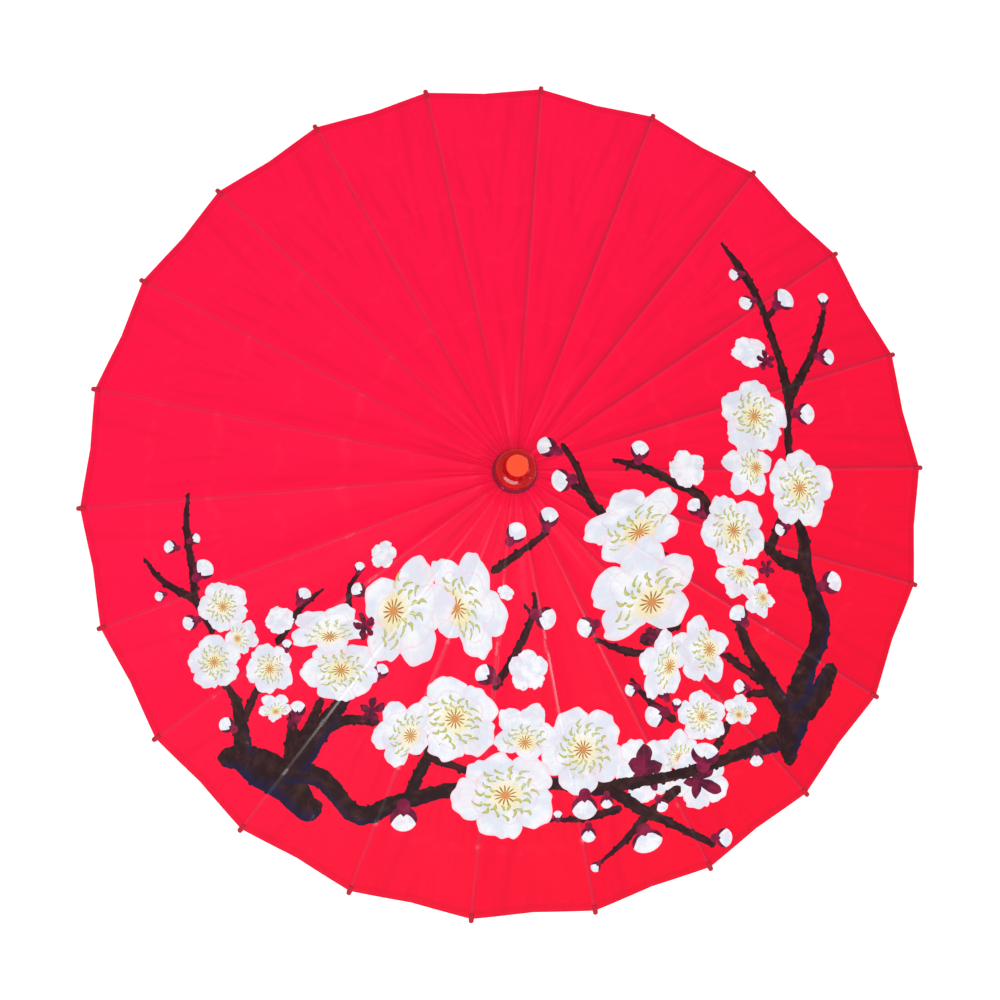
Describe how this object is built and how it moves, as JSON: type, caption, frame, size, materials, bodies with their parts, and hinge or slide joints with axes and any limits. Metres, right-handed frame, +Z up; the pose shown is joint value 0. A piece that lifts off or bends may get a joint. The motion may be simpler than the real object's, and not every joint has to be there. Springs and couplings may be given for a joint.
{
  "type": "oil paper umbrella",
  "caption": "Open round parasol of red satin on split bamboo ribs, with a printed blossom spray, a lacquered finial, a sliding runner and a turned handle.",
  "frame": {"origin": "middle of the handle's flat end, on the pole's axis", "axes": "+Z up the pole from the handle to the finial; the catch faces -Y; the first rib lies 3 degrees from +X towards +Y"},
  "size_m": [0.8194, 0.8172, 0.5306],
  "materials": {
    "cloth": "satin weave, printed",
    "lacquer": "glossy red lacquer",
    "bamboo": "split and planed bamboo",
    "pole_bamboo": "smooth waxed rod",
    "hub_wood": "turned, unvarnished",
    "handle_wood": "turned, dark red lacquer",
    "steel": "drawn wire and spring strip",
    "brass": "pressed, satin"
  },
  "bodies": {
    "root": {"pole": "pole_bamboo", "handle": "handle_wood", "handle_cap": "handle_wood", "handle_ferrule": "brass", "upper_hub": "hub_wood", "hub_wire": "steel", "hub_pin": "bamboo", "catch_pin": "steel", "canopy": "cloth", "crown_washer": "lacquer", "finial": "lacquer"},
    "rib_01": {"rib_01": "bamboo"},
    "stretcher_01": {"stretcher_01": "bamboo"},
    "rib_02": {"rib_02": "bamboo"},
    "stretcher_02": {"stretcher_02": "bamboo"},
    "rib_03": {"rib_03": "bamboo"},
    "stretcher_03": {"stretcher_03": "bamboo"},
    "rib_04": {"rib_04": "bamboo"},
    "stretcher_04": {"stretcher_04": "bamboo"},
    "rib_05": {"rib_05": "bamboo"},
    "stretcher_05": {"stretcher_05": "bamboo"},
    "rib_06": {"rib_06": "bamboo"},
    "stretcher_06": {"stretcher_06": "bamboo"},
    "rib_07": {"rib_07": "bamboo"},
    "stretcher_07": {"stretcher_07": "bamboo"},
    "rib_08": {"rib_08": "bamboo"},
    "stretcher_08": {"stretcher_08": "bamboo"},
    "rib_09": {"rib_09": "bamboo"},
    "stretcher_09": {"stretcher_09": "bamboo"},
    "rib_10": {"rib_10": "bamboo"},
    "stretcher_10": {"stretcher_10": "bamboo"},
    "rib_11": {"rib_11": "bamboo"},
    "stretcher_11": {"stretcher_11": "bamboo"},
    "rib_12": {"rib_12": "bamboo"},
    "stretcher_12": {"stretcher_12": "bamboo"},
    "rib_13": {"rib_13": "bamboo"},
    "stretcher_13": {"stretcher_13": "bamboo"},
    "rib_14": {"rib_14": "bamboo"},
    "stretcher_14": {"stretcher_14": "bamboo"},
    "rib_15": {"rib_15": "bamboo"},
    "stretcher_15": {"stretcher_15": "bamboo"},
    "rib_16": {"rib_16": "bamboo"},
    "stretcher_16": {"stretcher_16": "bamboo"},
    "rib_17": {"rib_17": "bamboo"},
    "stretcher_17": {"stretcher_17": "bamboo"},
    "rib_18": {"rib_18": "bamboo"},
    "stretcher_18": {"stretcher_18": "bamboo"},
    "rib_19": {"rib_19": "bamboo"},
    "stretcher_19": {"stretcher_19": "bamboo"},
    "rib_20": {"rib_20": "bamboo"},
    "stretcher_20": {"stretcher_20": "bamboo"},
    "rib_21": {"rib_21": "bamboo"},
    "stretcher_21": {"stretcher_21": "bamboo"},
    "rib_22": {"rib_22": "bamboo"},
    "stretcher_22": {"stretcher_22": "bamboo"},
    "runner": {"runner": "hub_wood", "runner_wire": "steel"},
    "catch": {"spring_catch": "steel"}
  },
  "joints": [
    {"name": "canopy_fold", "type": "hinge", "parent": "root", "child": "rib_01", "pos_m": [0.01498, 0.00078, 0.49033], "axis": [-0.0523, 0.9986, 0], "range_deg": [0, 74.5], "deforming": ["canopy", "spring_catch"]},
    {"name": "stretcher_01_turn", "type": "hinge", "parent": "rib_01", "child": "stretcher_01", "pos_m": [0.18072, 0.00947, 0.45354], "axis": [-0.0523, 0.9986, 0], "range_deg": [-149.5, 0.5]},
    {"name": "rib_02_fold", "type": "hinge", "parent": "root", "child": "rib_02", "pos_m": [0.01415, 0.00497, 0.49033], "axis": [-0.3316, 0.9434, 0], "range_deg": [-0.5, 75]},
    {"name": "stretcher_02_turn", "type": "hinge", "parent": "rib_02", "child": "stretcher_02", "pos_m": [0.17073, 0.06, 0.45354], "axis": [-0.3316, 0.9434, 0], "range_deg": [-149.5, 0.5]},
    {"name": "rib_03_fold", "type": "hinge", "parent": "root", "child": "rib_03", "pos_m": [0.01218, 0.00876, 0.49033], "axis": [-0.5839, 0.8118, 0], "range_deg": [-0.5, 75]},
    {"name": "stretcher_03_turn", "type": "hinge", "parent": "rib_03", "child": "stretcher_03", "pos_m": [0.14691, 0.10567, 0.45354], "axis": [-0.5839, 0.8118, 0], "range_deg": [-149.5, 0.5]},
    {"name": "rib_04_fold", "type": "hinge", "parent": "root", "child": "rib_04", "pos_m": [0.00922, 0.01184, 0.49033], "axis": [-0.789, 0.6144, 0], "range_deg": [-0.5, 75]},
    {"name": "stretcher_04_turn", "type": "hinge", "parent": "rib_04", "child": "stretcher_04", "pos_m": [0.11119, 0.14278, 0.45354], "axis": [-0.789, 0.6144, 0], "range_deg": [-149.5, 0.5]},
    {"name": "rib_05_fold", "type": "hinge", "parent": "root", "child": "rib_05", "pos_m": [0.00551, 0.01395, 0.49033], "axis": [-0.9301, 0.3672, 0], "range_deg": [-0.5, 75]},
    {"name": "stretcher_05_turn", "type": "hinge", "parent": "rib_05", "child": "stretcher_05", "pos_m": [0.06646, 0.16833, 0.45354], "axis": [-0.9301, 0.3672, 0], "range_deg": [-149.5, 0.5]},
    {"name": "rib_06_fold", "type": "hinge", "parent": "root", "child": "rib_06", "pos_m": [0.00136, 0.01494, 0.49033], "axis": [-0.9959, 0.0903, 0], "range_deg": [-0.5, 75]},
    {"name": "stretcher_06_turn", "type": "hinge", "parent": "rib_06", "child": "stretcher_06", "pos_m": [0.01634, 0.18023, 0.45354], "axis": [-0.9959, 0.0903, 0], "range_deg": [-149.5, 0.5]},
    {"name": "rib_07_fold", "type": "hinge", "parent": "root", "child": "rib_07", "pos_m": [-0.00291, 0.01472, 0.49033], "axis": [-0.981, -0.1939, 0], "range_deg": [-0.5, 75]},
    {"name": "stretcher_07_turn", "type": "hinge", "parent": "rib_07", "child": "stretcher_07", "pos_m": [-0.03509, 0.17753, 0.45354], "axis": [-0.981, -0.1939, 0], "range_deg": [-149.5, 0.5]},
    {"name": "rib_08_fold", "type": "hinge", "parent": "root", "child": "rib_08", "pos_m": [-0.00694, 0.0133, 0.49033], "axis": [-0.8866, -0.4625, 0], "range_deg": [-0.5, 75]},
    {"name": "stretcher_08_turn", "type": "hinge", "parent": "rib_08", "child": "stretcher_08", "pos_m": [-0.08369, 0.16046, 0.45354], "axis": [-0.8866, -0.4625, 0], "range_deg": [-149.5, 0.5]},
    {"name": "rib_09_fold", "type": "hinge", "parent": "root", "child": "rib_09", "pos_m": [-0.0104, 0.01081, 0.49033], "axis": [-0.7204, -0.6935, 0], "range_deg": [-0.5, 75]},
    {"name": "stretcher_09_turn", "type": "hinge", "parent": "rib_09", "child": "stretcher_09", "pos_m": [-0.12551, 0.13038, 0.45354], "axis": [-0.7204, -0.6935, 0], "range_deg": [-149.5, 0.5]},
    {"name": "rib_10_fold", "type": "hinge", "parent": "root", "child": "rib_10", "pos_m": [-0.01303, 0.00744, 0.49033], "axis": [-0.4959, -0.8684, 0], "range_deg": [-0.5, 75]},
    {"name": "stretcher_10_turn", "type": "hinge", "parent": "rib_10", "child": "stretcher_10", "pos_m": [-0.15715, 0.08974, 0.45354], "axis": [-0.4959, -0.8684, 0], "range_deg": [-149.5, 0.5]},
    {"name": "rib_11_fold", "type": "hinge", "parent": "root", "child": "rib_11", "pos_m": [-0.01459, 0.00347, 0.49033], "axis": [-0.2311, -0.9729, 0], "range_deg": [-0.5, 75]},
    {"name": "stretcher_11_turn", "type": "hinge", "parent": "rib_11", "child": "stretcher_11", "pos_m": [-0.17607, 0.04183, 0.45354], "axis": [-0.2311, -0.9729, 0], "range_deg": [-149.5, 0.5]},
    {"name": "rib_12_fold", "type": "hinge", "parent": "root", "child": "rib_12", "pos_m": [-0.01498, -0.00078, 0.49033], "axis": [0.0523, -0.9986, 0], "range_deg": [-0.5, 75]},
    {"name": "stretcher_12_turn", "type": "hinge", "parent": "rib_12", "child": "stretcher_12", "pos_m": [-0.18072, -0.00947, 0.45354], "axis": [0.0523, -0.9986, 0], "range_deg": [-149.5, 0.5]},
    {"name": "rib_13_fold", "type": "hinge", "parent": "root", "child": "rib_13", "pos_m": [-0.01415, -0.00497, 0.49033], "axis": [0.3316, -0.9434, 0], "range_deg": [-0.5, 75]},
    {"name": "stretcher_13_turn", "type": "hinge", "parent": "rib_13", "child": "stretcher_13", "pos_m": [-0.17073, -0.06, 0.45354], "axis": [0.3316, -0.9434, 0], "range_deg": [-149.5, 0.5]},
    {"name": "rib_14_fold", "type": "hinge", "parent": "root", "child": "rib_14", "pos_m": [-0.01218, -0.00876, 0.49033], "axis": [0.5839, -0.8118, 0], "range_deg": [-0.5, 75]},
    {"name": "stretcher_14_turn", "type": "hinge", "parent": "rib_14", "child": "stretcher_14", "pos_m": [-0.14691, -0.10567, 0.45354], "axis": [0.5839, -0.8118, 0], "range_deg": [-149.5, 0.5]},
    {"name": "rib_15_fold", "type": "hinge", "parent": "root", "child": "rib_15", "pos_m": [-0.00922, -0.01184, 0.49033], "axis": [0.789, -0.6144, 0], "range_deg": [-0.5, 75]},
    {"name": "stretcher_15_turn", "type": "hinge", "parent": "rib_15", "child": "stretcher_15", "pos_m": [-0.11119, -0.14278, 0.45354], "axis": [0.789, -0.6144, 0], "range_deg": [-149.5, 0.5]},
    {"name": "rib_16_fold", "type": "hinge", "parent": "root", "child": "rib_16", "pos_m": [-0.00551, -0.01395, 0.49033], "axis": [0.9301, -0.3672, 0], "range_deg": [-0.5, 75]},
    {"name": "stretcher_16_turn", "type": "hinge", "parent": "rib_16", "child": "stretcher_16", "pos_m": [-0.06646, -0.16833, 0.45354], "axis": [0.9301, -0.3672, 0], "range_deg": [-149.5, 0.5]},
    {"name": "rib_17_fold", "type": "hinge", "parent": "root", "child": "rib_17", "pos_m": [-0.00136, -0.01494, 0.49033], "axis": [0.9959, -0.0903, 0], "range_deg": [-0.5, 75]},
    {"name": "stretcher_17_turn", "type": "hinge", "parent": "rib_17", "child": "stretcher_17", "pos_m": [-0.01634, -0.18023, 0.45354], "axis": [0.9959, -0.0903, 0], "range_deg": [-149.5, 0.5]},
    {"name": "rib_18_fold", "type": "hinge", "parent": "root", "child": "rib_18", "pos_m": [0.00291, -0.01472, 0.49033], "axis": [0.981, 0.1939, 0], "range_deg": [-0.5, 75]},
    {"name": "stretcher_18_turn", "type": "hinge", "parent": "rib_18", "child": "stretcher_18", "pos_m": [0.03509, -0.17753, 0.45354], "axis": [0.981, 0.1939, 0], "range_deg": [-149.5, 0.5]},
    {"name": "rib_19_fold", "type": "hinge", "parent": "root", "child": "rib_19", "pos_m": [0.00694, -0.0133, 0.49033], "axis": [0.8866, 0.4625, 0], "range_deg": [-0.5, 75]},
    {"name": "stretcher_19_turn", "type": "hinge", "parent": "rib_19", "child": "stretcher_19", "pos_m": [0.08369, -0.16046, 0.45354], "axis": [0.8866, 0.4625, 0], "range_deg": [-149.5, 0.5]},
    {"name": "rib_20_fold", "type": "hinge", "parent": "root", "child": "rib_20", "pos_m": [0.0104, -0.01081, 0.49033], "axis": [0.7204, 0.6935, 0], "range_deg": [-0.5, 75]},
    {"name": "stretcher_20_turn", "type": "hinge", "parent": "rib_20", "child": "stretcher_20", "pos_m": [0.12551, -0.13038, 0.45354], "axis": [0.7204, 0.6935, 0], "range_deg": [-149.5, 0.5]},
    {"name": "rib_21_fold", "type": "hinge", "parent": "root", "child": "rib_21", "pos_m": [0.01303, -0.00744, 0.49033], "axis": [0.4959, 0.8684, 0], "range_deg": [-0.5, 75]},
    {"name": "stretcher_21_turn", "type": "hinge", "parent": "rib_21", "child": "stretcher_21", "pos_m": [0.15715, -0.08974, 0.45354], "axis": [0.4959, 0.8684, 0], "range_deg": [-149.5, 0.5]},
    {"name": "rib_22_fold", "type": "hinge", "parent": "root", "child": "rib_22", "pos_m": [0.01459, -0.00347, 0.49033], "axis": [0.2311, 0.9729, 0], "range_deg": [-0.5, 75]},
    {"name": "stretcher_22_turn", "type": "hinge", "parent": "rib_22", "child": "stretcher_22", "pos_m": [0.17607, -0.04183, 0.45354], "axis": [0.2311, 0.9729, 0], "range_deg": [-149.5, 0.5]},
    {"name": "runner_foot", "type": "hinge", "parent": "stretcher_01", "child": "runner", "pos_m": [0.01498, 0.00078, 0.41674], "axis": [-0.0523, 0.9986, 0], "range_deg": [-0.5, 75]},
    {"name": "catch_press", "type": "hinge", "parent": "root", "child": "catch", "pos_m": [0, 0, 0.34795], "axis": [-1, 0, 0], "range_deg": [0, 7.5], "stiffness_Nm_per_rad": 0.1, "springref_deg": -2.86}
  ],
  "couplings": [
    {"joint": "stretcher_01_turn", "follows": "canopy_fold", "ratio": -2},
    {"joint": "rib_02_fold", "follows": "canopy_fold", "ratio": 1},
    {"joint": "stretcher_02_turn", "follows": "canopy_fold", "ratio": -2},
    {"joint": "rib_03_fold", "follows": "canopy_fold", "ratio": 1},
    {"joint": "stretcher_03_turn", "follows": "canopy_fold", "ratio": -2},
    {"joint": "rib_04_fold", "follows": "canopy_fold", "ratio": 1},
    {"joint": "stretcher_04_turn", "follows": "canopy_fold", "ratio": -2},
    {"joint": "rib_05_fold", "follows": "canopy_fold", "ratio": 1},
    {"joint": "stretcher_05_turn", "follows": "canopy_fold", "ratio": -2},
    {"joint": "rib_06_fold", "follows": "canopy_fold", "ratio": 1},
    {"joint": "stretcher_06_turn", "follows": "canopy_fold", "ratio": -2},
    {"joint": "rib_07_fold", "follows": "canopy_fold", "ratio": 1},
    {"joint": "stretcher_07_turn", "follows": "canopy_fold", "ratio": -2},
    {"joint": "rib_08_fold", "follows": "canopy_fold", "ratio": 1},
    {"joint": "stretcher_08_turn", "follows": "canopy_fold", "ratio": -2},
    {"joint": "rib_09_fold", "follows": "canopy_fold", "ratio": 1},
    {"joint": "stretcher_09_turn", "follows": "canopy_fold", "ratio": -2},
    {"joint": "rib_10_fold", "follows": "canopy_fold", "ratio": 1},
    {"joint": "stretcher_10_turn", "follows": "canopy_fold", "ratio": -2},
    {"joint": "rib_11_fold", "follows": "canopy_fold", "ratio": 1},
    {"joint": "stretcher_11_turn", "follows": "canopy_fold", "ratio": -2},
    {"joint": "rib_12_fold", "follows": "canopy_fold", "ratio": 1},
    {"joint": "stretcher_12_turn", "follows": "canopy_fold", "ratio": -2},
    {"joint": "rib_13_fold", "follows": "canopy_fold", "ratio": 1},
    {"joint": "stretcher_13_turn", "follows": "canopy_fold", "ratio": -2},
    {"joint": "rib_14_fold", "follows": "canopy_fold", "ratio": 1},
    {"joint": "stretcher_14_turn", "follows": "canopy_fold", "ratio": -2},
    {"joint": "rib_15_fold", "follows": "canopy_fold", "ratio": 1},
    {"joint": "stretcher_15_turn", "follows": "canopy_fold", "ratio": -2},
    {"joint": "rib_16_fold", "follows": "canopy_fold", "ratio": 1},
    {"joint": "stretcher_16_turn", "follows": "canopy_fold", "ratio": -2},
    {"joint": "rib_17_fold", "follows": "canopy_fold", "ratio": 1},
    {"joint": "stretcher_17_turn", "follows": "canopy_fold", "ratio": -2},
    {"joint": "rib_18_fold", "follows": "canopy_fold", "ratio": 1},
    {"joint": "stretcher_18_turn", "follows": "canopy_fold", "ratio": -2},
    {"joint": "rib_19_fold", "follows": "canopy_fold", "ratio": 1},
    {"joint": "stretcher_19_turn", "follows": "canopy_fold", "ratio": -2},
    {"joint": "rib_20_fold", "follows": "canopy_fold", "ratio": 1},
    {"joint": "stretcher_20_turn", "follows": "canopy_fold", "ratio": -2},
    {"joint": "rib_21_fold", "follows": "canopy_fold", "ratio": 1},
    {"joint": "stretcher_21_turn", "follows": "canopy_fold", "ratio": -2},
    {"joint": "rib_22_fold", "follows": "canopy_fold", "ratio": 1},
    {"joint": "stretcher_22_turn", "follows": "canopy_fold", "ratio": -2},
    {"joint": "runner_foot", "follows": "canopy_fold", "ratio": 1}
  ]
}
